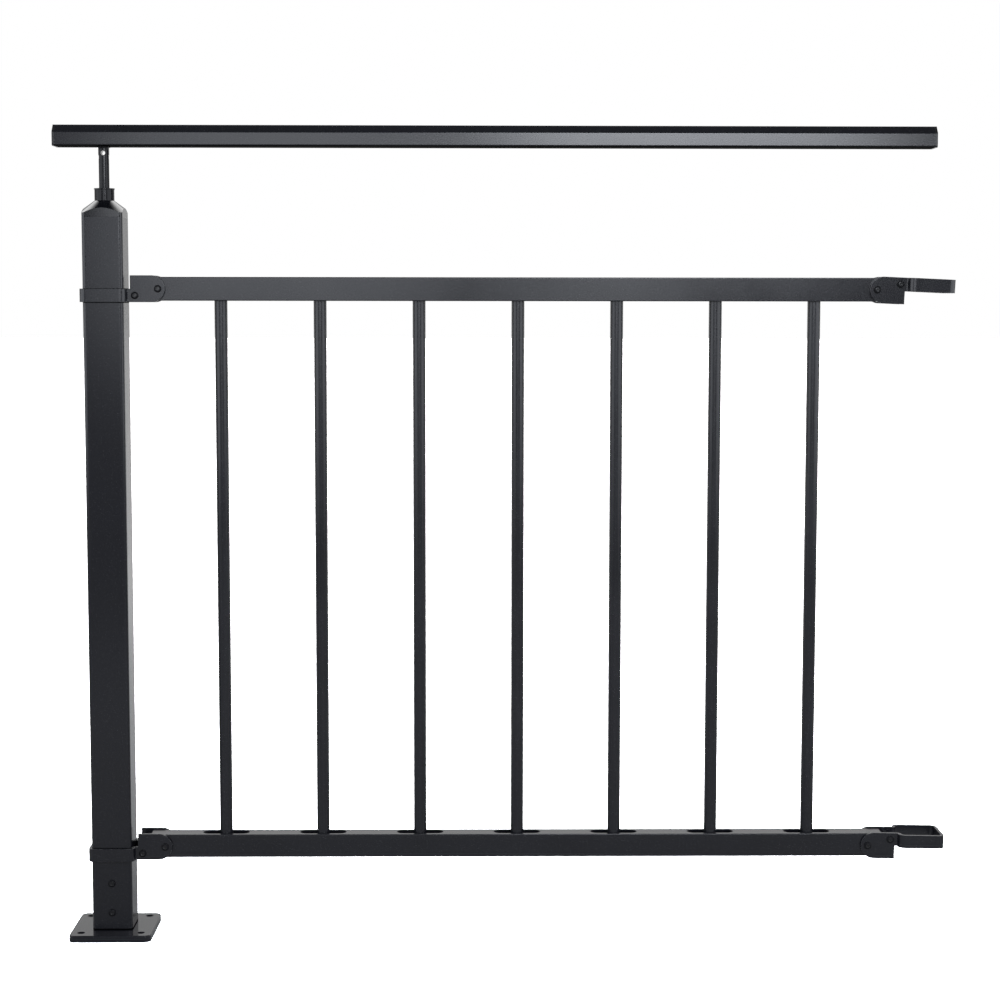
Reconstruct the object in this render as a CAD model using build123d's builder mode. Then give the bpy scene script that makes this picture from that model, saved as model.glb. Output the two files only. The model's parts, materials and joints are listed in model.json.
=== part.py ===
from build123d import *
from math import cos, radians, sin, sqrt, tan
import os

# Stair railing: a bolted-down square post, a handrail on a stem above it, and a panel of round
# balusters pinned between two slotted rails, so that the panel racks to the pitch of the stair.
# Millimetres. X runs along the panel, Y from front to back, Z up, zero under the middle of the base plate.

# Running and sliding fits
running_clearance = 0.05
slide_clearance = 0.3

# Base plate and the spigot welded to it
plate_side = 96.0
plate_thickness = 8.0
plate_corner = 8.0
plate_bevel = 0.8
anchor_spacing = 70.0
anchor_hole = 9.0
spigot_height = 76.0
spigot_wall = 3.0

# Post tube
post_side = 47.0
post_wall = 2.0
post_corner = 4.5
post_top = 843.8
base_screw_heights = (29.0, 64.0)

# Post cap with a turned cone for a top
cap_plug_depth = 14.0
cap_shoulder = 5.0
cap_cone_angle = 36.0
cap_top_radius = 11.8

# Collar and stem that carry the handrail
collar_diameter = 22.8
collar_height = 14.2
collar_lip_height = 1.4
collar_lip = 0.5
stem_diameter = 12.0
stem_length = 48.0
fork_reach = 5.2
fork_cut = 3.0

# Handrail, its end caps, and the saddle that tilts on the stem
handrail_width = 34.0
handrail_height = 24.5
handrail_wall = 2.0
handrail_bevel_height = 8.5
handrail_bevel_width = 8.0
handrail_crown_round = 1.5
handrail_shoulder_round = 2.5
handrail_foot_round = 2.0
handrail_overhang = 56.5
handrail_reach = 4.5
end_cap_thickness = 2.5
end_cap_plug = 12.0
tongue_thickness = 4.4
tongue_toe = 5.6
tongue_cut = 3.4
saddle_foot_width = 13.4
saddle_foot_depth = 12.0
saddle_foot_height = 1.2
tilt_pin_diameter = 6.4
tilt_pin_bore = 5.2

# Rails
rail_height = 27.5
rail_depth = 25.0
rail_wall = 2.0
rail_corner = 1.0
rail_overhang = 17.3
bottom_rail_z = 106.0
top_rail_drop = 81.8

# Balusters, and the steepest stair that their slots let the panel rack to
baluster_count = 7
baluster_diameter = 15.0
baluster_wall = 1.5
baluster_gap = 100.0
end_spacing = 70.7
pin_diameter = 5.0
rack_limit = 42.0
slot_end_clearance = 5.0
slot_side_clearance = 0.5
tail_clearance = 1.5

# Strap clamps that hold the rails to the posts
strap_thickness = 3.5
strap_height = 15.4
ear_height = 30.8
ear_clearance = 0.5
ear_lead = 7.3
ear_setback = 1.8
corner_bend = 4.0
ear_bend = 1.5
pivot_standoff = 38.8
clamp_screw_inset = 5.5
upper_droop = 2.6
lower_droop = 1.0

# Round-head bolts and their nuts
bolt_diameter = 5.0
bolt_head = 8.6
bolt_head_height = 2.75
bolt_head_bevel = 1.3
nut_width = 8.0
nut_height = 4.0
bolt_end = 6.0

# Heights up the post
top_rail_z = post_top - top_rail_drop
cap_corner_reach = post_side / sqrt(2) - post_corner * (sqrt(2) - 1)
cap_slope = tan(radians(cap_cone_angle))
cap_top = post_top + cap_shoulder + (cap_corner_reach - cap_top_radius) * cap_slope
stem_shoulder = cap_top + stem_length
tongue_sweep = sqrt((stem_diameter / 2 - tongue_cut) ** 2 + tongue_toe ** 2)
fork_sweep = sqrt((stem_diameter / 2 - fork_cut) ** 2 + fork_reach ** 2)
tilt_axis_z = stem_shoulder + slide_clearance + tongue_sweep
fork_top = tilt_axis_z + fork_reach
handrail_bottom = tilt_axis_z + fork_sweep + slide_clearance + saddle_foot_height
handrail_top = handrail_bottom + handrail_height

# Places along the panel
baluster_pitch = baluster_diameter + baluster_gap
near_pivot_x = post_side / 2 + pivot_standoff
baluster_places = [near_pivot_x + end_spacing + i * baluster_pitch for i in range(baluster_count)]
far_pivot_x = baluster_places[-1] + end_spacing
next_post_x = far_pivot_x + near_pivot_x
rail_start = near_pivot_x - rail_overhang
rail_length = far_pivot_x - near_pivot_x + 2 * rail_overhang

# Slots that pass a plumb baluster at the steepest rake, and tails that turn inside the rail
rake = radians(rack_limit)
slot_half = rail_height / 2 * tan(rake) + baluster_diameter / 2 / cos(rake) + slot_end_clearance
slot_width = baluster_diameter + 2 * slot_side_clearance
tail_reach = rail_height / 2 - rail_wall - tail_clearance
baluster_tail = sqrt(tail_reach ** 2 - (baluster_diameter / 2) ** 2)

# Centre line of a strap, from the pivot out along X and round the post
ear_inner = rail_depth / 2 + ear_clearance
ear_outer = ear_inner + strap_thickness
ear_middle = ear_inner + strap_thickness / 2
strap_middle = (post_side + strap_thickness) / 2
joggle_x = pivot_standoff - strap_thickness / 2
joggle_run = strap_middle - ear_middle
corner_radius = min(corner_bend + strap_thickness / 2, 0.6 * joggle_run)
ear_radius = min(ear_bend + strap_thickness / 2, 0.35 * joggle_run)
ear_root = joggle_x - ear_radius - ear_setback
loop_end = pivot_standoff + post_side + strap_thickness / 2
clamp_screw_x = ear_root - clamp_screw_inset
clamp_screw_z = strap_height / 2

bolt_bore = bolt_diameter + 2 * running_clearance
pin_bore = pin_diameter + 2 * running_clearance
tilt_bore = tilt_pin_diameter + 2 * running_clearance


def keep(piece, name):
    """Label a finished piece and write it."""
    piece.part.label = name
    export_step(piece.part, f"parts/{name}.step")


def clamp_frame(pivot_x, pivot_z, turn):
    """Frame at a pivot, turned about Y, with its X towards the post that the strap grips."""
    angle = radians(turn)
    return Plane(
        origin=(pivot_x, 0, pivot_z),
        x_dir=(cos(angle), 0, -sin(angle)),
        z_dir=(sin(angle), 0, cos(angle)),
    )


def front_of(frame, x=0.0, z=0.0, out=0.0):
    """Plane that faces the front at a point of a clamp's frame, standing out from its middle."""
    origin = frame.from_local_coords((x, -out, z))
    return Plane(origin=origin, x_dir=frame.x_dir, z_dir=(0, -1, 0))


def make_bolt(seat, grip, has_nut):
    """Round-head bolt: its head on the seat, its shank through the grip and a nut beyond."""
    outward = Axis(seat.origin, seat.z_dir)
    with BuildPart() as bolt:
        with BuildSketch(seat):
            Circle(bolt_head / 2)
        extrude(amount=bolt_head_height)
        chamfer(bolt.faces().sort_by(outward)[-1].edges(), bolt_head_bevel)
        with BuildSketch(seat):
            Circle(bolt_diameter / 2)
        extrude(amount=-grip - (bolt_end if has_nut else 0))
        if has_nut:
            with BuildSketch(seat.offset(-grip)):
                RegularPolygon(nut_width / 2, side_count=6, major_radius=False)
            extrude(amount=-nut_height)
    return bolt


def make_clamp(frame):
    """One bent strap: an ear each side of the rail, joggled out and carried round the post."""
    front = front_of(frame)
    with BuildPart() as clamp:
        with BuildSketch(frame):
            with BuildLine():
                FilletPolyline(
                    (ear_root - strap_thickness, -ear_middle),
                    (joggle_x, -ear_middle),
                    (joggle_x, -strap_middle),
                    (loop_end, -strap_middle),
                    (loop_end, strap_middle),
                    (joggle_x, strap_middle),
                    (joggle_x, ear_middle),
                    (ear_root - strap_thickness, ear_middle),
                    radius=[ear_radius] + 4 * [corner_radius] + [ear_radius],
                )
            trace(line_width=strap_thickness)
        extrude(amount=strap_height)
        for ear_face in (ear_inner, -ear_outer):
            with BuildSketch(front.offset(ear_face)):
                with Locations((ear_lead, 0)):
                    Circle(ear_height / 2)
                with Locations(((ear_lead + ear_root) / 2, 0)):
                    Rectangle(ear_root - ear_lead, ear_height)
            extrude(amount=strap_thickness)
        with BuildSketch(front):
            with Locations((0, 0), (clamp_screw_x, clamp_screw_z)):
                Circle(bolt_bore / 2)
        extrude(amount=ear_outer, both=True, mode=Mode.SUBTRACT)
    return clamp


def make_rail(middle_z, slot_side):
    """Rectangular tube with a pivot hole near each end and a row of slots in one face."""
    with BuildPart() as rail:
        with BuildSketch(Plane.YZ.offset(rail_start)):
            with Locations((0, middle_z)):
                RectangleRounded(rail_depth, rail_height, rail_corner)
                Rectangle(rail_depth - 2 * rail_wall, rail_height - 2 * rail_wall, mode=Mode.SUBTRACT)
        extrude(amount=rail_length)
        with BuildSketch(Plane.XY.offset(middle_z + slot_side * rail_height / 2)):
            with Locations(*[(x, 0) for x in baluster_places]):
                SlotOverall(2 * slot_half, slot_width)
        extrude(amount=-slot_side * rail_height / 2, mode=Mode.SUBTRACT)
        with BuildSketch(Plane.XZ):
            with Locations((near_pivot_x, middle_z), (far_pivot_x, middle_z)):
                Circle(bolt_bore / 2)
        extrude(amount=rail_depth, both=True, mode=Mode.SUBTRACT)
    return rail


def make_pins(middle_z):
    """Row of cross pins between a rail's side walls, one for each baluster."""
    with BuildPart() as pins:
        with BuildSketch(Plane.XZ):
            with Locations(*[(x, middle_z) for x in baluster_places]):
                Circle(pin_diameter / 2)
        extrude(amount=rail_depth / 2 - rail_wall, both=True)
    return pins


def make_baluster(x):
    """Round tube, cross-drilled near both ends for the rail pins."""
    with BuildPart() as baluster:
        with BuildSketch(Plane.XY.offset(bottom_rail_z - baluster_tail)):
            with Locations((x, 0)):
                Circle(baluster_diameter / 2)
                Circle(baluster_diameter / 2 - baluster_wall, mode=Mode.SUBTRACT)
        extrude(amount=top_rail_z - bottom_rail_z + 2 * baluster_tail)
        with BuildSketch(Plane.XZ):
            with Locations((x, bottom_rail_z), (x, top_rail_z)):
                Circle(pin_bore / 2)
        extrude(amount=baluster_diameter, both=True, mode=Mode.SUBTRACT)
    return baluster


def handrail_outline(inset):
    """Crowned outline of the handrail, drawn in by an inset."""
    half_width = handrail_width / 2
    half_crown = half_width - handrail_bevel_width
    shoulder = handrail_top - handrail_bevel_height
    rounds = ((-1, handrail_crown_round), (1, handrail_shoulder_round), (0, handrail_foot_round))
    with BuildSketch() as outline:
        with BuildLine():
            Polyline(
                (-half_width, handrail_bottom),
                (half_width, handrail_bottom),
                (half_width, shoulder),
                (half_crown, handrail_top),
                (-half_crown, handrail_top),
                (-half_width, shoulder),
                close=True,
            )
        make_face()
        if inset:
            offset(amount=-inset, kind=Kind.INTERSECTION, mode=Mode.REPLACE)
        for level, corner_round in rounds:
            if corner_round > inset:
                fillet(outline.vertices().group_by(Axis.Y)[level], corner_round - inset)
    return outline.sketch


def make_end_cap(outer_x, inward):
    """Plate across a handrail end, with a plug that slides into the tube."""
    with BuildPart() as end_cap:
        with BuildSketch(Plane.YZ.offset(outer_x)):
            add(handrail_outline(0))
        extrude(amount=inward * end_cap_thickness)
        with BuildSketch(Plane.YZ.offset(outer_x + inward * end_cap_thickness)):
            add(handrail_outline(handrail_wall + slide_clearance))
        extrude(amount=inward * end_cap_plug)
    return end_cap


os.makedirs("parts", exist_ok=True)

# Base plate with anchor holes
with BuildPart() as base_plate:
    with BuildSketch():
        RectangleRounded(plate_side, plate_side, plate_corner)
        with GridLocations(anchor_spacing, anchor_spacing, 2, 2):
            Circle(anchor_hole / 2, mode=Mode.SUBTRACT)
    extrude(amount=plate_thickness)
    chamfer(base_plate.faces().sort_by(Axis.Z)[-1].outer_wire().edges(), plate_bevel)
keep(base_plate, "base_plate")

# Square spigot welded to the plate, drilled for the base screws
spigot_side = post_side - 2 * post_wall - 2 * slide_clearance
spigot_corner = max(post_corner - post_wall, 0) + slide_clearance
with BuildPart() as base_spigot:
    with BuildSketch(Plane.XY.offset(plate_thickness)):
        RectangleRounded(spigot_side, spigot_side, spigot_corner)
        Rectangle(spigot_side - 2 * spigot_wall, spigot_side - 2 * spigot_wall, mode=Mode.SUBTRACT)
    extrude(amount=spigot_height)
    with BuildSketch(Plane.XZ):
        with Locations(*[(0, z) for z in base_screw_heights]):
            Circle(bolt_bore / 2)
    extrude(amount=post_side / 2, mode=Mode.SUBTRACT)
keep(base_spigot, "base_spigot")

# Square post tube, drilled at the front for the base screws
with BuildPart() as post_tube:
    with BuildSketch(Plane.XY.offset(plate_thickness)):
        RectangleRounded(post_side, post_side, post_corner)
        RectangleRounded(
            post_side - 2 * post_wall, post_side - 2 * post_wall, post_corner - post_wall, mode=Mode.SUBTRACT
        )
    extrude(amount=post_top - plate_thickness)
    with BuildSketch(Plane.XZ):
        with Locations(*[(0, z) for z in base_screw_heights]):
            Circle(bolt_bore / 2)
    extrude(amount=post_side / 2, mode=Mode.SUBTRACT)
keep(post_tube, "post_tube")

# Two base screws through the tube's front wall into the spigot
with BuildPart() as base_screws:
    for screw_z in base_screw_heights:
        screw_seat = Plane(origin=(0, -post_side / 2, screw_z), x_dir=(1, 0, 0), z_dir=(0, -1, 0))
        screw = make_bolt(screw_seat, post_wall + slide_clearance + spigot_wall, has_nut=False)
        add(screw.part)
keep(base_screws, "base_screws")

# Post cap: square below, its top turned to a cone, with a plug in the tube
plug_side = post_side - 2 * post_wall - 2 * slide_clearance
with BuildPart() as post_cap:
    with BuildSketch(Plane.XY.offset(post_top)):
        RectangleRounded(post_side, post_side, post_corner)
    extrude(amount=cap_top - post_top)
    with BuildSketch(Plane.XZ):
        with BuildLine():
            Polyline(
                (0, post_top),
                (cap_top_radius + (cap_top - post_top) / cap_slope, post_top),
                (cap_top_radius, cap_top),
                (0, cap_top),
                close=True,
            )
        make_face()
    revolve(axis=Axis.Z, mode=Mode.INTERSECT)
    with BuildSketch(Plane.XY.offset(post_top)):
        RectangleRounded(plug_side, plug_side, spigot_corner)
    extrude(amount=-cap_plug_depth)
keep(post_cap, "post_cap")

# Collar with a thin lip round its top
with BuildPart() as collar:
    with BuildSketch(Plane.XY.offset(cap_top)):
        Circle(collar_diameter / 2)
    extrude(amount=collar_height)
    with BuildSketch(Plane.XY.offset(cap_top + collar_height - collar_lip_height)):
        Circle(collar_diameter / 2 + collar_lip)
    extrude(amount=collar_lip_height)
    with BuildSketch(Plane.XY.offset(cap_top)):
        Circle(stem_diameter / 2 + running_clearance)
    extrude(amount=collar_height, mode=Mode.SUBTRACT)
keep(collar, "collar")

# Round stem with a slotted, drilled fork at its head
with BuildPart() as handrail_stem:
    with BuildSketch(Plane.XY.offset(cap_top)):
        Circle(stem_diameter / 2)
    extrude(amount=fork_top - cap_top)
    with BuildSketch(Plane.XZ) as fork:
        with Locations((0, cap_top)):
            Rectangle(stem_diameter, fork_top - cap_top, align=(Align.CENTER, Align.MIN))
        chamfer(fork.vertices().group_by(Axis.Y)[-1], fork_cut)
        with Locations((0, tilt_axis_z)):
            Circle(tilt_bore / 2, mode=Mode.SUBTRACT)
    extrude(amount=stem_diameter / 2, both=True, mode=Mode.INTERSECT)
    with BuildSketch(Plane.YZ):
        with Locations((0, stem_shoulder)):
            Rectangle(
                tongue_thickness + 2 * slide_clearance,
                fork_top - stem_shoulder,
                align=(Align.CENTER, Align.MIN),
            )
    extrude(amount=stem_diameter / 2, both=True, mode=Mode.SUBTRACT)
keep(handrail_stem, "handrail_stem")

# Saddle under the handrail: a foot, and a drilled tongue that turns in the fork
with BuildPart() as saddle:
    with BuildSketch(Plane.XZ) as tongue:
        with Locations((0, handrail_bottom)):
            Rectangle(
                stem_diameter,
                handrail_bottom - tilt_axis_z + tongue_toe,
                align=(Align.CENTER, Align.MAX),
            )
        chamfer(tongue.vertices().group_by(Axis.Y)[0], tongue_cut)
        with Locations((0, tilt_axis_z)):
            Circle(tilt_bore / 2, mode=Mode.SUBTRACT)
    extrude(amount=tongue_thickness / 2, both=True)
    with BuildSketch(Plane.XY.offset(handrail_bottom)):
        Rectangle(saddle_foot_width, saddle_foot_depth)
    extrude(amount=-saddle_foot_height)
keep(saddle, "handrail_saddle")

# Hollow tilt pin, flush with the crown of the fork
with BuildPart() as tilt_pin:
    with BuildSketch(Plane.XZ):
        with Locations((0, tilt_axis_z)):
            Circle(tilt_pin_diameter / 2)
            Circle(tilt_pin_bore / 2, mode=Mode.SUBTRACT)
    extrude(amount=stem_diameter / 2, both=True)
keep(tilt_pin, "handrail_tilt_pin")

# Handrail tube and the caps on its ends
handrail_start = -handrail_overhang
handrail_end = next_post_x + handrail_reach
handrail_length = handrail_end - handrail_start - 2 * end_cap_thickness
with BuildPart() as handrail:
    with BuildSketch(Plane.YZ.offset(handrail_start + end_cap_thickness)):
        add(handrail_outline(0))
        add(handrail_outline(handrail_wall), mode=Mode.SUBTRACT)
    extrude(amount=handrail_length)
keep(handrail, "handrail")
keep(make_end_cap(handrail_start, 1), "handrail_near_cap")
keep(make_end_cap(handrail_end, -1), "handrail_far_cap")

# Slotted rails with their pins, and the balusters between them
keep(make_rail(top_rail_z, -1), "top_rail")
keep(make_rail(bottom_rail_z, 1), "bottom_rail")
keep(make_pins(top_rail_z), "top_rail_pins")
keep(make_pins(bottom_rail_z), "bottom_rail_pins")
for number, place in enumerate(baluster_places, start=1):
    keep(make_baluster(place), f"baluster_{number}")

# Clamps: the far pair is the near pair turned over about Y, hanging a little for want of a post
clamp_frames = {
    "upper_near": clamp_frame(near_pivot_x, top_rail_z, 180),
    "lower_near": clamp_frame(near_pivot_x, bottom_rail_z, 180),
    "upper_far": clamp_frame(far_pivot_x, top_rail_z, upper_droop),
    "lower_far": clamp_frame(far_pivot_x, bottom_rail_z, lower_droop),
}
for corner, frame in clamp_frames.items():
    pivot_seat = front_of(frame, out=ear_outer)
    screw_seat = front_of(frame, clamp_screw_x, clamp_screw_z, out=ear_outer)
    keep(make_clamp(frame), f"{corner}_clamp")
    keep(make_bolt(pivot_seat, 2 * ear_outer, has_nut=True), f"{corner}_pivot_bolt")
    keep(make_bolt(screw_seat, 2 * ear_outer, has_nut=True), f"{corner}_clamp_screw")
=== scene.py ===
import json
from math import atan2, cos, pi, radians, sin

import bmesh
import bpy
from bpy.props import FloatProperty, FloatVectorProperty, IntProperty, PointerProperty
from mathutils import Euler, Matrix, Vector

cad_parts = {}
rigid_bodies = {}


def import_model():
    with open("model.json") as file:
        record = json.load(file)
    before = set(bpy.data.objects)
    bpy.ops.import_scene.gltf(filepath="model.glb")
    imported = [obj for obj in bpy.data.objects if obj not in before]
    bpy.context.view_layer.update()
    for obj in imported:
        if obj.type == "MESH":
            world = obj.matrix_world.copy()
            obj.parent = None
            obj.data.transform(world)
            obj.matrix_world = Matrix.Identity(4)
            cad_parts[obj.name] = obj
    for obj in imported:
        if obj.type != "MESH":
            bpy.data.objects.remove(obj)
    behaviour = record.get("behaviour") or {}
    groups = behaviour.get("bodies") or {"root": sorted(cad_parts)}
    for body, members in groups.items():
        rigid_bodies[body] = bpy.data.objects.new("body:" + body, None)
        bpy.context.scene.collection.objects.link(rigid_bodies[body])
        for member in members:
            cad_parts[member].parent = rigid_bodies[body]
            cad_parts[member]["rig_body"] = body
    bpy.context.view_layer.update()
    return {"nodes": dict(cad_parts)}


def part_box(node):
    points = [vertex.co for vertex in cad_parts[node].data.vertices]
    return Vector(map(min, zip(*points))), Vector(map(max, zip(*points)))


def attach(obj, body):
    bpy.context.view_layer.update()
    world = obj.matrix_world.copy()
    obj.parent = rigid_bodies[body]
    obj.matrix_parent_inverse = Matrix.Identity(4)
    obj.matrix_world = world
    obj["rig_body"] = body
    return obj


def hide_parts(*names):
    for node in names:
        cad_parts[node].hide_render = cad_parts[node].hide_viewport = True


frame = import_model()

bl_info = {
    "name": "Stair Railing",
    "version": (1, 0, 0),
    "blender": (4, 5, 0),
    "location": "View3D > Sidebar > Railing",
    "description": "Finishes a black racking stair railing and sets it in a white studio",
    "category": "Object",
}

MM = 0.001

# Gloss of the coats: their refraction, and levels for the shader's specular
COAT_IOR = 1.5
FULL_GLOSS = 0.5
THIN_GLOSS = 0.22
SKIRT_GLOSS = 0.06

# Texture of the coats: noise cells per metre, the spans of values that show, shares and grains
FULL_SPAN = (0.0, 1.0)
CLOUD_SCALE = 7.0
CLOUD_SPAN = (0.3, 0.7)
SPECK_SCALE = 900.0
SPECK_SPAN = (0.72, 0.8)
SPECK_SHARE = 0.35
RUB_SCALE = 160.0
RUB_SPAN = (0.42, 0.62)
EDGE_SPAN = (0.98, 0.8)
ROUGHNESS_SPREAD = 0.16
RUBBED_DULLING = 0.15
STEEL_GRAIN = 0.4 * MM
PLASTIC_GRAIN = 0.25 * MM

# Sheen masks: least sheen under a cloud, then the black of the painted shade, and the sheen left and downward
# facing where the handrail's underside is painted in shade
CLOUDED_SHEEN = 0.9
PAINTED_SHADE_COLOUR = (0.001, 0.001, 0.001)
UNDERSIDE_SHADE_SHEEN = 0.03
UNDERSIDE_SHADE_SPAN = (-0.75, -0.2)

# Turning of the fasteners
DOME_STEPS = 6
TIP_SHARE = 0.15
SHARP_ANGLE = radians(32)
MERGE_DISTANCE = 1e-7

# Fades of the studio: the floor from painted shade to painted light by metres behind the post, the backdrop
# by heading
FLOOR_FADE = (0.0, 3.0)
BACKDROP_FADE = (0.3, 0.6)
HEADER_RISE = (0.42, 0.52)
HEADER_FALL = (0.72, 0.88)

# The mix node repeats its socket names for each kind of value, so its colour sockets go by place
MIX_COLOURS = (6, 7)
MIX_RESULT = 2


# Settings


class RailingFinishSettings(bpy.types.PropertyGroup):
    """Colours and surface detail of the railing's four finishes."""

    powder_colour: FloatVectorProperty(
        name="Powder colour", description="Colour of the satin powder coat",
        subtype="COLOR", size=3, min=0.0, max=1.0, default=(0.0085, 0.009, 0.012),
    )
    powder_roughness: FloatProperty(
        name="Powder roughness", description="Middle roughness of the powder coat",
        subtype="FACTOR", min=0.0, max=1.0, default=0.2,
    )
    plate_roughness: FloatProperty(
        name="Plate roughness", description="Middle roughness of the base plate's smoother coat",
        subtype="FACTOR", min=0.0, max=1.0, default=0.13,
    )
    baluster_roughness: FloatProperty(
        name="Baluster roughness", description="Middle roughness of the balusters' duller coat",
        subtype="FACTOR", min=0.0, max=1.0, default=0.25,
    )
    powder_grain: FloatProperty(
        name="Powder grain", description="Width of the powder coat's orange-peel grain",
        unit="LENGTH", min=0.0001, max=0.01, default=0.9 * MM,
    )
    enamel_colour: FloatVectorProperty(
        name="Enamel colour", description="Colour of the turned pieces' gloss enamel",
        subtype="COLOR", size=3, min=0.0, max=1.0, default=(0.005, 0.0053, 0.007),
    )
    enamel_roughness: FloatProperty(
        name="Enamel roughness", description="Middle roughness of the gloss enamel",
        subtype="FACTOR", min=0.0, max=1.0, default=0.1,
    )
    enamel_grain: FloatProperty(
        name="Enamel grain", description="Width of the flow marks in the gloss enamel",
        unit="LENGTH", min=0.0001, max=0.01, default=2.2 * MM,
    )
    steel_colour: FloatVectorProperty(
        name="Steel colour", description="Colour of the blackened fasteners",
        subtype="COLOR", size=3, min=0.0, max=1.0, default=(0.010, 0.0102, 0.0115),
    )
    steel_roughness: FloatProperty(
        name="Steel roughness", description="Middle roughness of the blackened fasteners",
        subtype="FACTOR", min=0.0, max=1.0, default=0.2,
    )
    plastic_colour: FloatVectorProperty(
        name="Plastic colour", description="Colour of the moulded end caps",
        subtype="COLOR", size=3, min=0.0, max=1.0, default=(0.010, 0.010, 0.0105),
    )
    plastic_roughness: FloatProperty(
        name="Plastic roughness", description="Middle roughness of the moulded end caps",
        subtype="FACTOR", min=0.0, max=1.0, default=0.42,
    )
    # Also the colour of the painted highlight along the strap clamps' edges
    worn_and_highlight_colour: FloatVectorProperty(
        name="Rubbed colour", description="Colour where edges are rubbed thin",
        subtype="COLOR", size=3, min=0.0, max=1.0, default=(0.075, 0.077, 0.08),
    )
    edge_round: FloatProperty(
        name="Edge rounding", description="Radius that paint and tooling leave on sharp edges",
        unit="LENGTH", min=0.0, max=0.005, default=0.5 * MM,
    )
    # Painted shadow: a black band round the foot of the post, where it stands on the base plate
    foot_shadow: FloatProperty(
        name="Foot seam", description="Height of the dark joint line round the foot of the post",
        unit="LENGTH", min=0.0, max=0.01, default=1.6 * MM,
    )
    # Painted shadow: a black band on the post along each edge of the near straps
    strap_shadow: FloatProperty(
        name="Strap seam", description="Height of the dark joint line along each edge of a strap",
        unit="LENGTH", min=0.0, max=0.01, default=0.9 * MM,
    )
    strap_edge_round: FloatProperty(
        name="Strap edge rounding", description="Radius on the edges of the stamped strap clamps",
        unit="LENGTH", min=0.0, max=0.005, default=1.0 * MM,
    )


class RailingFastenerSettings(bpy.types.PropertyGroup):
    """Sizes of the button-head bolts, screws and nuts."""

    head_height: FloatProperty(
        name="Head height", description="Height of a button head over its seat",
        unit="LENGTH", min=0.0005, default=2.75 * MM,
    )
    rim_height: FloatProperty(
        name="Rim height", description="Straight rim under a button head's dome",
        unit="LENGTH", min=0.0, default=0.5 * MM,
    )
    crown_radius: FloatProperty(
        name="Crown radius", description="Radius of the flat ring round the socket",
        unit="LENGTH", min=0.0005, default=2.3 * MM,
    )
    socket_width: FloatProperty(
        name="Socket width", description="Width of the hexagon socket across its flats",
        unit="LENGTH", min=0.0005, default=3.0 * MM,
    )
    socket_depth: FloatProperty(
        name="Socket depth", description="Depth of the hexagon socket",
        unit="LENGTH", min=0.0002, default=1.7 * MM,
    )
    shank_radius: FloatProperty(
        name="Shank radius", description="Radius of the bolt's shank",
        unit="LENGTH", min=0.0005, default=2.5 * MM,
    )
    nut_width: FloatProperty(
        name="Nut width", description="Width of the nut across its flats",
        unit="LENGTH", min=0.001, default=8.0 * MM,
    )
    nut_height: FloatProperty(
        name="Nut height", description="Height of the nut",
        unit="LENGTH", min=0.0005, default=4.0 * MM,
    )
    nut_chamfer: FloatProperty(
        name="Nut chamfer", description="Chamfer round the nut's faces",
        unit="LENGTH", min=0.0, default=0.6 * MM,
    )
    bolt_end: FloatProperty(
        name="Bolt end", description="Length of a bolt from the nut's seat to its tip",
        unit="LENGTH", min=0.0, default=6.0 * MM,
    )
    sides: IntProperty(
        name="Sides", description="Sides of a turned fastener", min=12, max=128, default=40,
    )


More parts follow.
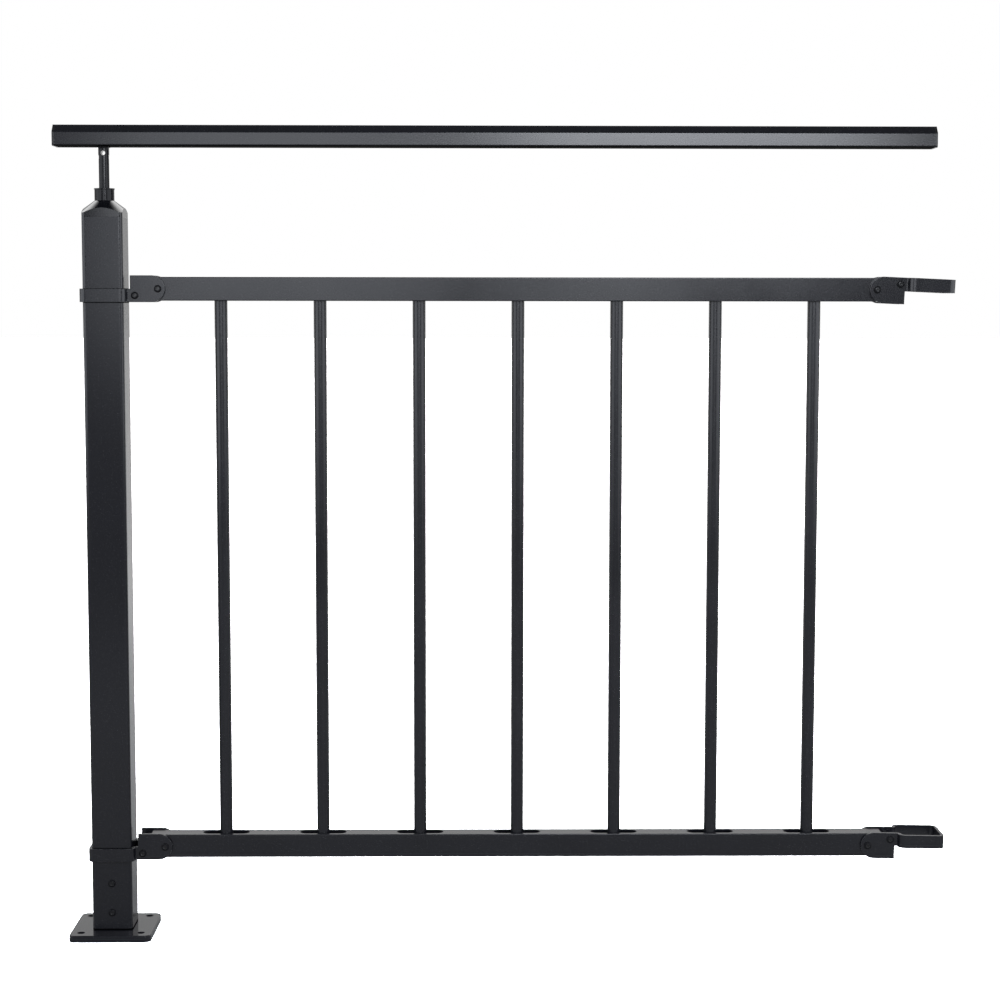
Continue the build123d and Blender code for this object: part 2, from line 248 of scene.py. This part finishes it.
class RailingStageSettings(bpy.types.PropertyGroup):
    """Camera, softboxes and floor of the studio."""

    camera_place: FloatVectorProperty(
        name="Camera place", description="Where the camera stands", subtype="TRANSLATION", unit="LENGTH",
        size=3, default=(0.4251, -2.5008, 0.7493),
    )
    camera_yaw: FloatProperty(
        name="Camera yaw", description="Turn of the view to the right", subtype="ANGLE",
        default=radians(0.74),
    )
    camera_pitch: FloatProperty(
        name="Camera pitch", description="Dip of the view below the horizon", subtype="ANGLE",
        default=radians(5.33),
    )
    camera_roll: FloatProperty(
        name="Camera roll", description="Lean of the view", subtype="ANGLE", default=radians(0.072),
    )
    camera_lens: FloatProperty(
        name="Camera lens", description="Focal length in millimetres on a 36 mm sensor",
        min=1.0, default=77.08,
    )
    key_place: FloatVectorProperty(
        name="Key place", description="Middle of the bright softbox at the upper right",
        subtype="TRANSLATION", unit="LENGTH", size=3, default=(0.9, -2.4, 1.55),
    )
    key_size: FloatVectorProperty(
        name="Key size", description="Width and height of the bright softbox",
        unit="LENGTH", size=2, min=0.01, default=(0.9, 1.1),
    )
    key_power: FloatProperty(
        name="Key power", description="Power of the bright softbox", unit="POWER", min=0.0, default=34.0,
    )
    fill_place: FloatVectorProperty(
        name="Fill place", description="Middle of the wide softbox at the left",
        subtype="TRANSLATION", unit="LENGTH", size=3, default=(-0.025, -2.4, 1.1),
    )
    fill_size: FloatVectorProperty(
        name="Fill size", description="Width and height of the wide softbox",
        unit="LENGTH", size=2, min=0.01, default=(0.75, 0.9),
    )
    fill_power: FloatProperty(
        name="Fill power", description="Power of the wide softbox", unit="POWER", min=0.0, default=6.0,
    )
    side_place: FloatVectorProperty(
        name="Side place", description="Middle of the small softbox right of the camera",
        subtype="TRANSLATION", unit="LENGTH", size=3, default=(0.72, -2.4, 0.75),
    )
    side_size: FloatVectorProperty(
        name="Side size", description="Width and height of the small softbox",
        unit="LENGTH", size=2, min=0.01, default=(0.36, 0.5),
    )
    side_power: FloatProperty(
        name="Side power", description="Power of the small softbox", unit="POWER", min=0.0, default=1.1,
    )
    wing_place: FloatVectorProperty(
        name="Wing place", description="Middle of the long softbox at the left; the right one is its twin",
        subtype="TRANSLATION", unit="LENGTH", size=3, default=(-1.5, -0.9, 1.1),
    )
    wing_size: FloatVectorProperty(
        name="Wing size", description="Length and height of the long softboxes",
        unit="LENGTH", size=2, min=0.01, default=(2.6, 1.4),
    )
    wing_power: FloatProperty(
        name="Wing power", description="Power of each long softbox", unit="POWER", min=0.0, default=24.0,
    )
    aim: FloatVectorProperty(
        name="Aim", description="Point that the softboxes face",
        subtype="TRANSLATION", unit="LENGTH", size=3, default=(0.45, 0.0, 0.8),
    )
    light_colour: FloatVectorProperty(
        name="Light colour", description="Colour of the softboxes",
        subtype="COLOR", size=3, min=0.0, max=1.0, default=(0.9, 0.935, 1.0),
    )
    backdrop_glow: FloatProperty(
        name="Backdrop glow", description="Brightness of the white backdrop", min=0.0, default=0.8,
    )
    header_glow: FloatProperty(
        name="Header glow", description="Brightness of the band of light over the backdrop",
        min=0.0, default=4.0,
    )
    room_glow: FloatProperty(
        name="Room glow", description="Brightness of the dim room round the set", min=0.0, default=0.1,
    )
    floor_half: FloatProperty(
        name="Floor reach", description="Half the side of the floor", unit="LENGTH", min=1.0, default=40.0,
    )
    # Painted shade and light on the floor, seen only in reflections: grey in front, brighter than white
    # behind
    front_floor_painted_shade: FloatProperty(
        name="Front floor", description="Grey of the floor in front, as the railing mirrors it", min=0.0,
        default=0.36,
    )
    back_floor_painted_light: FloatProperty(
        name="Back floor", description="White of the floor behind, as the railing mirrors it", min=0.0,
        default=1.9,
    )
    floor_gain: FloatProperty(
        name="Floor gain", description="White of the floor as the camera sees it", min=0.0, default=6.0,
    )


# Shader node groups


def new_group(name, inputs, outputs):
    """Make a shader node group with named sockets and return it with its input and output nodes."""
    group = bpy.data.node_groups.new(name, "ShaderNodeTree")
    for title, kind, default in inputs:
        socket = group.interface.new_socket(name=title, in_out="INPUT", socket_type=kind)
        if default is not None:
            socket.default_value = default
    for title, kind in outputs:
        group.interface.new_socket(name=title, in_out="OUTPUT", socket_type=kind)
    return group, group.nodes.new("NodeGroupInput"), group.nodes.new("NodeGroupOutput")


def feed(tree, value, socket):
    """Link a socket to an input, or set the input to a plain value."""
    if isinstance(value, bpy.types.NodeSocket):
        tree.links.new(value, socket)
    else:
        socket.default_value = value


def noise(tree, vector, scale, detail, roughness=0.5):
    """Add a noise texture that reads a vector socket; scale is a number or a socket."""
    node = tree.nodes.new("ShaderNodeTexNoise")
    node.inputs["Detail"].default_value = detail
    node.inputs["Roughness"].default_value = roughness
    tree.links.new(vector, node.inputs["Vector"])
    feed(tree, scale, node.inputs["Scale"])
    return node.outputs["Fac"]


def math_node(tree, operation, *operands):
    """Add a math node; each operand is a number or a socket."""
    node = tree.nodes.new("ShaderNodeMath")
    node.operation = operation
    for operand, socket in zip(operands, node.inputs):
        feed(tree, operand, socket)
    return node.outputs["Value"]


def remap(tree, value, span, to_low=0.0, to_high=1.0):
    """Add a clamped map range node from a span of values."""
    node = tree.nodes.new("ShaderNodeMapRange")
    for title, number in zip(("From Min", "From Max", "To Min", "To Max"), (*span, to_low, to_high)):
        node.inputs[title].default_value = number
    tree.links.new(value, node.inputs["Value"])
    return node.outputs["Result"]


def split(tree, vector):
    """Add a node that splits a vector socket and return its X, Y and Z outputs."""
    node = tree.nodes.new("ShaderNodeSeparateXYZ")
    tree.links.new(vector, node.inputs["Vector"])
    return node.outputs


def mix_colour(tree, factor, first, second):
    """Add a colour mix node between two colours or colour sockets."""
    node = tree.nodes.new("ShaderNodeMix")
    node.data_type = "RGBA"
    tree.links.new(factor, node.inputs["Factor"])
    for colour, place in zip((first, second), MIX_COLOURS):
        opaque = colour if isinstance(colour, bpy.types.NodeSocket) else (*colour, 1.0)
        feed(tree, opaque, node.inputs[place])
    return node.outputs[MIX_RESULT]


def coat_grain_group():
    """Fine grain, slow clouding and stray specks of a sprayed coat."""
    name = "coat_grain"
    if name in bpy.data.node_groups:
        return bpy.data.node_groups[name]
    group, source, result = new_group(
        name,
        [("Vector", "NodeSocketVector", None), ("Grain", "NodeSocketFloat", MM)],
        [("Height", "NodeSocketFloat"), ("Cloud", "NodeSocketFloat"), ("Speck", "NodeSocketFloat")],
    )
    vector = source.outputs["Vector"]
    cells = math_node(group, "DIVIDE", 1.0, source.outputs["Grain"])
    peel = noise(group, vector, cells, detail=2.0)
    cloud = noise(group, vector, CLOUD_SCALE, detail=4.0, roughness=0.6)
    speck = noise(group, vector, SPECK_SCALE, detail=0.0)
    group.links.new(peel, result.inputs["Height"])
    group.links.new(remap(group, cloud, CLOUD_SPAN), result.inputs["Cloud"])
    group.links.new(remap(group, speck, SPECK_SPAN), result.inputs["Speck"])
    return group


def edge_wear_and_highlight_group():
    """Rounded normal at sharp edges, and a broken mask along them for rubbed wear and a painted edge
    highlight.
    """
    name = "edge_wear"
    if name in bpy.data.node_groups:
        return bpy.data.node_groups[name]
    group, source, result = new_group(
        name,
        [("Vector", "NodeSocketVector", None), ("Radius", "NodeSocketFloat", MM)],
        [("Normal", "NodeSocketVector"), ("Mask", "NodeSocketFloat")],
    )
    rounded = group.nodes.new("ShaderNodeBevel")
    rounded.samples = 4
    group.links.new(source.outputs["Radius"], rounded.inputs["Radius"])
    flat = group.nodes.new("ShaderNodeNewGeometry")
    agree = group.nodes.new("ShaderNodeVectorMath")
    agree.operation = "DOT_PRODUCT"
    group.links.new(rounded.outputs["Normal"], agree.inputs[0])
    group.links.new(flat.outputs["Normal"], agree.inputs[1])
    edge = remap(group, agree.outputs["Value"], EDGE_SPAN)
    patches = remap(group, noise(group, source.outputs["Vector"], RUB_SCALE, detail=3.0), RUB_SPAN)
    group.links.new(rounded.outputs["Normal"], result.inputs["Normal"])
    group.links.new(math_node(group, "MULTIPLY", edge, patches), result.inputs["Mask"])
    return group


# Materials


def place_group(tree, group, vector, **values):
    """Add a node group to a material, reading a vector socket, with its own values."""
    node = tree.nodes.new("ShaderNodeGroup")
    node.node_tree = group
    tree.links.new(vector, node.inputs["Vector"])
    for title, value in values.items():
        node.inputs[title].default_value = value
    return node


def painted_shade_underside(tree, _place):
    """Sheen of a coat painted in dull black shade where it faces down."""
    facing = split(tree, tree.nodes.new("ShaderNodeNewGeometry").outputs["Normal"])
    return remap(tree, facing["Z"], UNDERSIDE_SHADE_SPAN, UNDERSIDE_SHADE_SHEEN, 1.0)


def painted_shadow_lines(shadow_bands):
    """Sheen of a post with painted shadow: black lines between pairs of heights."""
    def sheen(tree, place):
        height = split(tree, place)["Z"]
        kept = 1.0
        for low, high in shadow_bands:
            inside = math_node(tree, "COMPARE", height, (low + high) / 2, (high - low) / 2)
            kept = math_node(tree, "SUBTRACT", kept, inside)
        return kept
    return sheen


def link_sheen(tree, shader, mask, cloud, roughness):
    """Give a shader its gloss as a clear layer that a mask holds back."""
    shader.inputs["Specular IOR Level"].default_value = 0.0
    shader.inputs["Coat IOR"].default_value = COAT_IOR
    shader.inputs["Coat Roughness"].default_value = roughness
    uneven = remap(tree, cloud, FULL_SPAN, 1.0, CLOUDED_SHEEN)
    tree.links.new(math_node(tree, "MULTIPLY", mask, uneven), shader.inputs["Coat Weight"])


def link_bump(tree, shader, coat, edges, depth):
    """Give a shader the coat's grain on top of the rounded edges."""
    bump = tree.nodes.new("ShaderNodeBump")
    bump.inputs["Strength"].default_value = 1.0
    bump.inputs["Distance"].default_value = depth
    tree.links.new(coat.outputs["Height"], bump.inputs["Height"])
    tree.links.new(edges.outputs["Normal"], bump.inputs["Normal"])
    tree.links.new(bump.outputs["Normal"], shader.inputs["Normal"])


def coat_material(
    name, colour, roughness, grain, depth, wear_and_highlight, cloudiness, edge_round=None, gloss=FULL_GLOSS, sheen=None,
):
    """A dark coat: near-black clouded colour, grained bump, and edges a little lighter, from rubbed wear and,
    on the strap clamps, a painted highlight.

    With a sheen mask the gloss is a clear layer, and where the mask falls to zero the coat is painted dull
    black as shade.
    """
    if name in bpy.data.materials:
        return bpy.data.materials[name]
    finish = bpy.context.scene.railing_finish
    material = bpy.data.materials.new(name)
    material.use_nodes = True
    tree = material.node_tree
    shader = tree.nodes["Principled BSDF"]
    shader.inputs["IOR"].default_value = COAT_IOR
    shader.inputs["Specular IOR Level"].default_value = gloss
    place = tree.nodes.new("ShaderNodeTexCoord").outputs["Object"]
    coat = place_group(tree, coat_grain_group(), place, Grain=grain)
    edges = place_group(tree, edge_wear_and_highlight_group(), place, Radius=edge_round or finish.edge_round)
    cloud = coat.outputs["Cloud"]

    lighter = [min(1.0, channel * (1.0 + cloudiness)) for channel in colour]
    darker = [channel * (1.0 - cloudiness) for channel in colour]
    clouded = mix_colour(tree, cloud, darker, lighter)
    specks = math_node(tree, "MULTIPLY", coat.outputs["Speck"], SPECK_SHARE)
    specked = mix_colour(tree, specks, clouded, finish.worn_and_highlight_colour)
    # Lighter edges: rubbed wear, and on the strap clamps a painted highlight
    rubbed = math_node(tree, "MULTIPLY", edges.outputs["Mask"], wear_and_highlight)
    shade = mix_colour(tree, rubbed, specked, finish.worn_and_highlight_colour)

    spread = ROUGHNESS_SPREAD * roughness
    uneven = remap(tree, cloud, FULL_SPAN, roughness - spread, roughness + spread)
    dulled = math_node(tree, "ADD", uneven, math_node(tree, "MULTIPLY", rubbed, RUBBED_DULLING))
    if sheen:
        # Where the mask falls, the colour is painted shade black and the gloss is held back
        mask = sheen(tree, place)
        shade = mix_colour(tree, mask, PAINTED_SHADE_COLOUR, shade)
        link_sheen(tree, shader, mask, cloud, roughness)
    tree.links.new(shade, shader.inputs["Base Color"])
    tree.links.new(dulled, shader.inputs["Roughness"])
    link_bump(tree, shader, coat, edges, depth)
    return material


def powder_coat(name="satin_powder", roughness=None, wear_and_highlight=0.35, **changes):
    """Satin powder coat of the post and rails, or a named change of it."""
    finish = bpy.context.scene.railing_finish
    return coat_material(
        name, finish.powder_colour, roughness or finish.powder_roughness, finish.powder_grain,
        depth=0.002 * MM, wear_and_highlight=wear_and_highlight, cloudiness=0.18, **changes,
    )


def gloss_enamel(name="gloss_enamel", gloss=FULL_GLOSS):
    """Glossy enamel of the cap, or the thinner coat of the turned pieces on it."""
    finish = bpy.context.scene.railing_finish
    return coat_material(
        name, finish.enamel_colour, finish.enamel_roughness, finish.enamel_grain,
        depth=0.002 * MM, wear_and_highlight=0.25, cloudiness=0.12, gloss=gloss,
    )


def blackened_steel(name="blackened_fastener", gloss=FULL_GLOSS):
    """Blackened steel of the bolts, screws and pins, or a duller change of it."""
    finish = bpy.context.scene.railing_finish
    return coat_material(
        name, finish.steel_colour, finish.steel_roughness, STEEL_GRAIN,
        depth=0.004 * MM, wear_and_highlight=0.8, cloudiness=0.35, gloss=gloss,
    )


def moulded_plastic():
    """Fine-textured plastic of the handrail's end caps."""
    finish = bpy.context.scene.railing_finish
    return coat_material(
        "moulded_plastic", finish.plastic_colour, finish.plastic_roughness, PLASTIC_GRAIN,
        depth=0.01 * MM, wear_and_highlight=0.15, cloudiness=0.1,
    )


def dress(node, material):
    """Give a CAD node its material."""
    mesh = frame["nodes"][node].data
    mesh.materials.clear()
    mesh.materials.append(material)


# Fasteners


def arc(centre, radius, start, end, steps):
    """Points (r, z) along an arc between two angles, both ends included."""
    angles = [start + (end - start) * step / steps for step in range(steps + 1)]
    return [(centre[0] + radius * cos(angle), centre[1] + radius * sin(angle)) for angle in angles]


def head_profile(head_radius, sizes):
    """Profile of a button head, from the ring round its socket out to its seat."""
    rise = sizes.head_height - sizes.rim_height
    reach = head_radius - sizes.crown_radius
    radius = (reach ** 2 + rise ** 2) / (2 * rise)
    centre = (sizes.crown_radius, sizes.head_height - radius)
    dome = arc(centre, radius, pi / 2, pi / 2 - 2 * atan2(rise, reach), DOME_STEPS)
    return dome + [(head_radius, 0.0)]


def spin_profile(shape, points, sides):
    """Turn a profile of (r, z) points about Z into a closed skin and return its first ring of edges."""
    vertices = [shape.verts.new((r, 0.0, z)) for r, z in points]
    edges = [shape.edges.new(pair) for pair in zip(vertices, vertices[1:])]
    bmesh.ops.spin(
        shape, geom=vertices + edges, cent=(0, 0, 0), axis=(0, 0, 1), angle=2 * pi, steps=sides,
        use_merge=True,
    )
    bmesh.ops.remove_doubles(shape, verts=shape.verts, dist=MERGE_DISTANCE)
    return [edge for edge in shape.edges if edge.is_boundary]


def hexagon(shape, width, z):
    """Add a hexagon loop of a width across flats at a height and return its edges."""
    made = bmesh.ops.create_circle(
        shape, cap_ends=False, segments=6, radius=width / 2 / cos(pi / 6),
        matrix=Matrix.Translation((0, 0, z)),
    )
    corners = set(made["verts"])
    return [edge for edge in shape.edges if set(edge.verts) <= corners]


def sink_socket(shape, rim, sizes):
    """Close a head's open ring with a hexagon socket."""
    mouth = hexagon(shape, sizes.socket_width, sizes.head_height)
    bmesh.ops.bridge_loops(shape, edges=rim + mouth)
    walls = bmesh.ops.extrude_edge_only(shape, edges=mouth)["geom"]
    corners = [part for part in walls if isinstance(part, bmesh.types.BMVert)]
    edges = [part for part in walls if isinstance(part, bmesh.types.BMEdge)]
    bmesh.ops.translate(shape, verts=corners, vec=(0, 0, -sizes.socket_depth))
    floor = [edge for edge in edges if set(edge.verts) <= set(corners)]
    bmesh.ops.contextual_create(shape, geom=floor)


def add_nut(shape, seat_z, sizes, sides):
    """Add a chamfered hexagon nut below a seat height, with a hole for the shank."""
    loops = []
    for z in (seat_z, seat_z - sizes.nut_height):
        outer = hexagon(shape, sizes.nut_width, z)
        made = bmesh.ops.create_circle(
            shape, cap_ends=False, segments=sides, radius=sizes.shank_radius,
            matrix=Matrix.Translation((0, 0, z)),
        )
        ring = set(made["verts"])
        inner = [edge for edge in shape.edges if set(edge.verts) <= ring]
        loops.append((outer, inner))
    (outer_top, inner_top), (outer_low, inner_low) = loops
    for pair in (outer_top + outer_low, outer_top + inner_top, outer_low + inner_low, inner_top + inner_low):
        bmesh.ops.bridge_loops(shape, edges=pair)
    bmesh.ops.bevel(
        shape, geom=outer_top + outer_low, offset=sizes.nut_chamfer, affect="EDGES", segments=1, profile=0.5,
        material=-1,
    )


def make_bolt(head_radius, shank_end, nut_seat=None):
    """Model one bolt with its seat at z = 0 and its head above; the dome takes the second material."""
    sizes = bpy.context.scene.railing_fasteners
    part = bmesh.new()
    tip = TIP_SHARE * sizes.shank_radius
    profile = head_profile(head_radius, sizes) + [
        (sizes.shank_radius, 0.0),
        (sizes.shank_radius, -shank_end + tip),
        (sizes.shank_radius - tip, -shank_end),
        (0.0, -shank_end),
    ]
    rim = spin_profile(part, profile, sizes.sides)
    sink_socket(part, rim, sizes)
    if nut_seat is not None:
        add_nut(part, -nut_seat, sizes, sizes.sides)
    bmesh.ops.recalc_face_normals(part, faces=part.faces)
    for face in part.faces:
        middle = face.calc_center_median()
        face.material_index = int(middle.z > 0 and middle.xy.length > sizes.crown_radius)
    return part


def front_seat(x, seat_y, z):
    """Matrix that stands a fastener on a front-facing seat."""
    axes = Matrix(((1, 0, 0), (0, 0, -1), (0, 1, 0))).to_4x4()
    return Matrix.Translation((x, seat_y, z)) @ axes


def add_fasteners(name, places, node, head_radius, shank_end, nut_seat=None):
    """Make one piece of like bolts at their seats, and let it stand for a CAD node."""
    sizes = bpy.context.scene.railing_fasteners
    seat_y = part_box(node)[0].y + sizes.head_height
    mesh = bpy.data.meshes.new(name)
    whole = bmesh.new()
    for x, z in places:
        bolt = make_bolt(head_radius, shank_end, nut_seat)
        bolt.transform(front_seat(x, seat_y, z))
        single = bpy.data.meshes.new("one_bolt")
        bolt.to_mesh(single)
        bolt.free()
        whole.from_mesh(single)
        bpy.data.meshes.remove(single)
    whole.to_mesh(mesh)
    whole.free()
    mesh.shade_smooth()
    mesh.set_sharp_from_angle(angle=SHARP_ANGLE)
    mesh.materials.append(blackened_steel())
    mesh.materials.append(blackened_steel("black_skirt", gloss=SKIRT_GLOSS))
    piece = bpy.data.objects.new(name, mesh)
    bpy.context.scene.collection.objects.link(piece)
    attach(piece, frame["nodes"][node]["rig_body"])
    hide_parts(node)
    return piece


# Operators


class RAILING_OT_post(bpy.types.Operator):
    """Coat the base plate, its spigot and the post tube"""

    bl_idname = "railing.post"
    bl_label = "Base and post"

    def execute(self, context):
        finish = context.scene.railing_finish
        dress("base_plate", powder_coat("smooth_powder", roughness=finish.plate_roughness))
        dress("base_spigot", powder_coat())
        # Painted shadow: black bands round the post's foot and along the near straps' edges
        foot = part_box("post_tube")[0].z
        shadow_bands = [(foot, foot + finish.foot_shadow)]
        for node in ("upper_near_clamp", "lower_near_clamp"):
            heights = [vertex.co.z for vertex in frame["nodes"][node].data.vertices if vertex.co.x < 0]
            low, high = min(heights), max(heights)
            shadow_bands += [(low - finish.strap_shadow, low), (high, high + finish.strap_shadow / 2)]
        dress("post_tube", powder_coat("post_powder_painted_shadow", sheen=painted_shadow_lines(shadow_bands)))
        return {"FINISHED"}


class RAILING_OT_head(bpy.types.Operator):
    """Enamel the cap, collar, stem and saddle, and blacken the tilt pin"""

    bl_idname = "railing.head"
    bl_label = "Cap, stem and saddle"

    def execute(self, context):
        dress("post_cap", gloss_enamel())
        for node in ("collar", "handrail_stem", "handrail_saddle"):
            dress(node, gloss_enamel("thin_enamel", gloss=THIN_GLOSS))
        dress("handrail_tilt_pin", blackened_steel())
        return {"FINISHED"}


class RAILING_OT_handrail(bpy.types.Operator):
    """Coat the handrail and give its end caps their plastic"""

    bl_idname = "railing.handrail"
    bl_label = "Handrail"

    def execute(self, context):
        # The handrail's downward faces are painted dull black shade
        dress("handrail", powder_coat("handrail_powder_painted_shade", sheen=painted_shade_underside))
        for node in ("handrail_near_cap", "handrail_far_cap"):
            dress(node, moulded_plastic())
        return {"FINISHED"}


class RAILING_OT_panel_bars(bpy.types.Operator):
    """Coat the rails and balusters, and blacken their pins"""

    bl_idname = "railing.panel_bars"
    bl_label = "Rails and balusters"

    def execute(self, context):
        finish = context.scene.railing_finish
        for node in frame["nodes"]:
            if node.startswith("baluster_"):
                dress(node, powder_coat("dull_powder", roughness=finish.baluster_roughness))
            elif node in ("top_rail", "bottom_rail"):
                dress(node, powder_coat())
            elif node.endswith("_rail_pins"):
                dress(node, blackened_steel())
        return {"FINISHED"}


class RAILING_OT_clamps(bpy.types.Operator):
    """Coat the four strap clamps"""

    bl_idname = "railing.clamps"
    bl_label = "Strap clamps"

    def execute(self, context):
        finish = context.scene.railing_finish
        for node in frame["nodes"]:
            if node.endswith("_clamp"):
                # Full edge lightening on the straps: rubbed wear and a painted highlight
                dress(node, powder_coat("strap_powder_painted_highlight", wear_and_highlight=1.0, edge_round=finish.strap_edge_round))
        return {"FINISHED"}


class RAILING_OT_bolts(bpy.types.Operator):
    """Model the clamps' button-head bolts and nuts in place of their plain solids"""

    bl_idname = "railing.bolts"
    bl_label = "Clamp bolts"

    def execute(self, context):
        sizes = context.scene.railing_fasteners
        nodes = [node for node in frame["nodes"] if node.endswith(("_pivot_bolt", "_clamp_screw"))]
        for node in nodes:
            lowest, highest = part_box(node)
            middle = (lowest + highest) / 2
            shank_end = highest.y - lowest.y - sizes.head_height
            head_radius = (highest.z - lowest.z) / 2
            nut_seat = shank_end - sizes.bolt_end
            add_fasteners(f"{node}_detail", [(middle.x, middle.z)], node, head_radius, shank_end, nut_seat)
        return {"FINISHED"}


class RAILING_OT_base_screws(bpy.types.Operator):
    """Model the two button-head screws that hold the post on its spigot"""

    bl_idname = "railing.base_screws"
    bl_label = "Base screws"

    def execute(self, context):
        sizes = context.scene.railing_fasteners
        lowest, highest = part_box("base_screws")
        head_radius = (highest.x - lowest.x) / 2
        middle_x = (lowest.x + highest.x) / 2
        places = [(middle_x, lowest.z + head_radius), (middle_x, highest.z - head_radius)]
        shank_end = highest.y - lowest.y - sizes.head_height
        add_fasteners("base_screws_detail", places, "base_screws", head_radius, shank_end)
        return {"FINISHED"}


class RAILING_OT_stage(bpy.types.Operator):
    """Set the floor, the backdrop, the softboxes and the camera"""

    bl_idname = "railing.stage"
    bl_label = "Studio"

    def execute(self, context):
        stage = context.scene.railing_stage
        context.scene.view_settings.view_transform = "Standard"
        add_floor(stage)
        add_backdrop(stage)
        add_softbox("key", stage.key_place, stage.key_size, stage.key_power)
        add_softbox("fill", stage.fill_place, stage.fill_size, stage.fill_power)
        add_softbox("side", stage.side_place, stage.side_size, stage.side_power)
        left = Vector(stage.wing_place)
        right = Vector((2 * stage.aim[0] - left.x, left.y, left.z))
        add_softbox("left_wing", left, stage.wing_size, stage.wing_power)
        add_softbox("right_wing", right, stage.wing_size, stage.wing_power)
        add_camera(stage)
        return {"FINISHED"}


# Stage


def add_floor(stage):
    """Pale floor: white to the camera; to what mirrors it, painted shade grey in front and painted light
    brighter than white behind.
    """
    mesh = bpy.data.meshes.new("floor")
    plane = bmesh.new()
    bmesh.ops.create_grid(plane, x_segments=1, y_segments=1, size=stage.floor_half)
    plane.to_mesh(mesh)
    plane.free()
    material = bpy.data.materials.new("pale_floor")
    material.use_nodes = True
    tree = material.node_tree
    tree.nodes.remove(tree.nodes["Principled BSDF"])
    diffuse = tree.nodes.new("ShaderNodeBsdfDiffuse")
    place = split(tree, tree.nodes.new("ShaderNodeTexCoord").outputs["Object"])
    # Painted light: in reflections the floor goes from grey in front to brighter than white behind
    depth = remap(tree, place["Y"], FLOOR_FADE)
    mirrored = mix_colour(tree, depth, 3 * [stage.front_floor_painted_shade], 3 * [stage.back_floor_painted_light])
    seen = tree.nodes.new("ShaderNodeLightPath").outputs["Is Camera Ray"]
    tree.links.new(mix_colour(tree, seen, mirrored, 3 * [stage.floor_gain]), diffuse.inputs["Color"])
    tree.links.new(diffuse.outputs["BSDF"], tree.nodes["Material Output"].inputs["Surface"])
    mesh.materials.append(material)
    floor = bpy.data.objects.new("floor", mesh)
    bpy.context.scene.collection.objects.link(floor)


def add_backdrop(stage):
    """White to the camera; in reflections a white backdrop behind the railing in a dim room."""
    world = bpy.data.worlds.new("studio")
    bpy.context.scene.world = world
    world.use_nodes = True
    tree = world.node_tree
    seen = tree.nodes["Background"]
    seen.inputs["Color"].default_value = (1.0, 1.0, 1.0, 1.0)
    room = tree.nodes.new("ShaderNodeBackground")
    heading = split(tree, tree.nodes.new("ShaderNodeTexCoord").outputs["Generated"])
    behind = remap(tree, heading["Y"], BACKDROP_FADE)
    rise = remap(tree, heading["Z"], HEADER_RISE, stage.backdrop_glow, stage.header_glow)
    fall = remap(tree, heading["Z"], HEADER_FALL, 1.0, 0.0)
    backdrop = math_node(tree, "MULTIPLY", behind, math_node(tree, "MULTIPLY", rise, fall))
    glow = math_node(tree, "ADD", backdrop, stage.room_glow)
    tree.links.new(glow, room.inputs["Strength"])
    path = tree.nodes.new("ShaderNodeLightPath")
    choose = tree.nodes.new("ShaderNodeMixShader")
    tree.links.new(path.outputs["Is Camera Ray"], choose.inputs["Fac"])
    tree.links.new(room.outputs["Background"], choose.inputs[1])
    tree.links.new(seen.outputs["Background"], choose.inputs[2])
    tree.links.new(choose.outputs["Shader"], tree.nodes["World Output"].inputs["Surface"])


def add_softbox(name, place, size, power):
    """Soft rectangular light that faces the railing."""
    stage = bpy.context.scene.railing_stage
    light = bpy.data.lights.new(name, "AREA")
    light.shape = "RECTANGLE"
    light.size, light.size_y = size
    light.energy = power
    light.color = stage.light_colour
    lamp = bpy.data.objects.new(name, light)
    facing = Vector(stage.aim) - Vector(place)
    lamp.matrix_world = Matrix.Translation(place) @ facing.to_track_quat("-Z", "Y").to_matrix().to_4x4()
    bpy.context.scene.collection.objects.link(lamp)


def add_camera(stage):
    """Camera at the photograph's viewing angle."""
    data = bpy.data.cameras.new("camera")
    data.lens = stage.camera_lens
    camera = bpy.data.objects.new("camera", data)
    turn = Euler((pi / 2 - stage.camera_pitch, 0.0, -stage.camera_yaw)).to_matrix().to_4x4()
    lean = Matrix.Rotation(stage.camera_roll, 4, "Z")
    camera.matrix_world = Matrix.Translation(Vector(stage.camera_place)) @ turn @ lean
    bpy.context.scene.collection.objects.link(camera)
    bpy.context.scene.camera = camera


# Panel and registration


OPERATORS = (
    RAILING_OT_post,
    RAILING_OT_head,
    RAILING_OT_handrail,
    RAILING_OT_panel_bars,
    RAILING_OT_clamps,
    RAILING_OT_bolts,
    RAILING_OT_base_screws,
    RAILING_OT_stage,
)


class RAILING_PT_sidebar(bpy.types.Panel):
    """Lists the railing's steps in the sidebar"""

    bl_idname = "RAILING_PT_sidebar"
    bl_label = "Stair Railing"
    bl_space_type = "VIEW_3D"
    bl_region_type = "UI"
    bl_category = "Railing"

    def draw(self, context):
        for operator in OPERATORS:
            self.layout.operator(operator.bl_idname)


SETTINGS = {
    "railing_finish": RailingFinishSettings,
    "railing_fasteners": RailingFastenerSettings,
    "railing_stage": RailingStageSettings,
}
CLASSES = (*SETTINGS.values(), *OPERATORS, RAILING_PT_sidebar)


def register():
    for cls in CLASSES:
        bpy.utils.register_class(cls)
    for name, group in SETTINGS.items():
        setattr(bpy.types.Scene, name, PointerProperty(type=group))


def unregister():
    for name in SETTINGS:
        delattr(bpy.types.Scene, name)
    for cls in reversed(CLASSES):
        bpy.utils.unregister_class(cls)


def main():
    """Run every step in order."""
    register()
    bpy.ops.railing.post()
    bpy.ops.railing.head()
    bpy.ops.railing.handrail()
    bpy.ops.railing.panel_bars()
    bpy.ops.railing.clamps()
    bpy.ops.railing.bolts()
    bpy.ops.railing.base_screws()
    bpy.ops.railing.stage()


if __name__ == "__main__":
    main()
